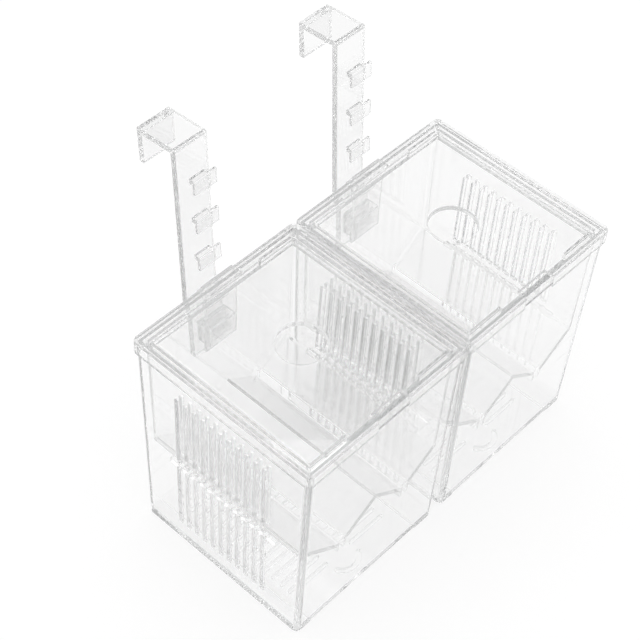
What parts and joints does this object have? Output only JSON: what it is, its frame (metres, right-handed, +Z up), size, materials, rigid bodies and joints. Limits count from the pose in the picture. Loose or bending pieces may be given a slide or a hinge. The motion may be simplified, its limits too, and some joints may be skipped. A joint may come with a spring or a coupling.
{
  "type": "hang-on fish breeding box",
  "caption": "Pair of clear plastic hang-on hatchery boxes with cap lids, W-floor fry trays, slotted ends, wall clips and height-adjustable tank hangers.",
  "frame": {"origin": "on the plane of the feet, under the centre of the whole object's box with both hangers on", "axes": "+Z up, +X along the pair from the left box to the right box, +Y towards the tank wall that the pair hangs on"},
  "size_m": [0.1536, 0.11, 0.1497],
  "materials": {
    "clear_plastic": "clear, colourless, polished moulding"
  },
  "bodies": {
    "left_box": {"left_box_shell": "clear_plastic"},
    "left_tray": {"left_fry_tray": "clear_plastic"},
    "left_lid": {"left_cap_lid": "clear_plastic"},
    "left_clip": {"left_hanger_clip": "clear_plastic"},
    "left_hook": {"left_hanger": "clear_plastic"},
    "right_box": {"right_box_shell": "clear_plastic"},
    "right_tray": {"right_fry_tray": "clear_plastic"},
    "right_lid": {"right_cap_lid": "clear_plastic"},
    "right_clip": {"right_hanger_clip": "clear_plastic"},
    "right_hook": {"right_hanger": "clear_plastic"}
  },
  "joints": [
    {"name": "boxes_part", "type": "slide", "parent": "left_box", "child": "right_box", "axis": [1, 0, 0], "range_m": [0, 0.06]},
    {"name": "left_tray_lift", "type": "slide", "parent": "left_box", "child": "left_tray", "axis": [0, 0, 1], "range_m": [0, 0.07]},
    {"name": "left_lid_lift", "type": "slide", "parent": "left_tray", "child": "left_lid", "axis": [0, 0, 1], "range_m": [0, 0.03]},
    {"name": "left_clip_lift", "type": "slide", "parent": "left_box", "child": "left_clip", "axis": [0, 0, 1], "range_m": [0, 0.035]},
    {"name": "left_hanger_slide", "type": "slide", "parent": "left_clip", "child": "left_hook", "axis": [1, 0, 0], "range_m": [0, 0.015]},
    {"name": "right_tray_lift", "type": "slide", "parent": "right_box", "child": "right_tray", "axis": [0, 0, 1], "range_m": [0, 0.07]},
    {"name": "right_lid_lift", "type": "slide", "parent": "right_tray", "child": "right_lid", "axis": [0, 0, 1], "range_m": [0, 0.03]},
    {"name": "right_clip_lift", "type": "slide", "parent": "right_box", "child": "right_clip", "axis": [0, 0, 1], "range_m": [0, 0.035]},
    {"name": "right_hanger_slide", "type": "slide", "parent": "right_clip", "child": "right_hook", "axis": [1, 0, 0], "range_m": [0, 0.015]}
  ]
}
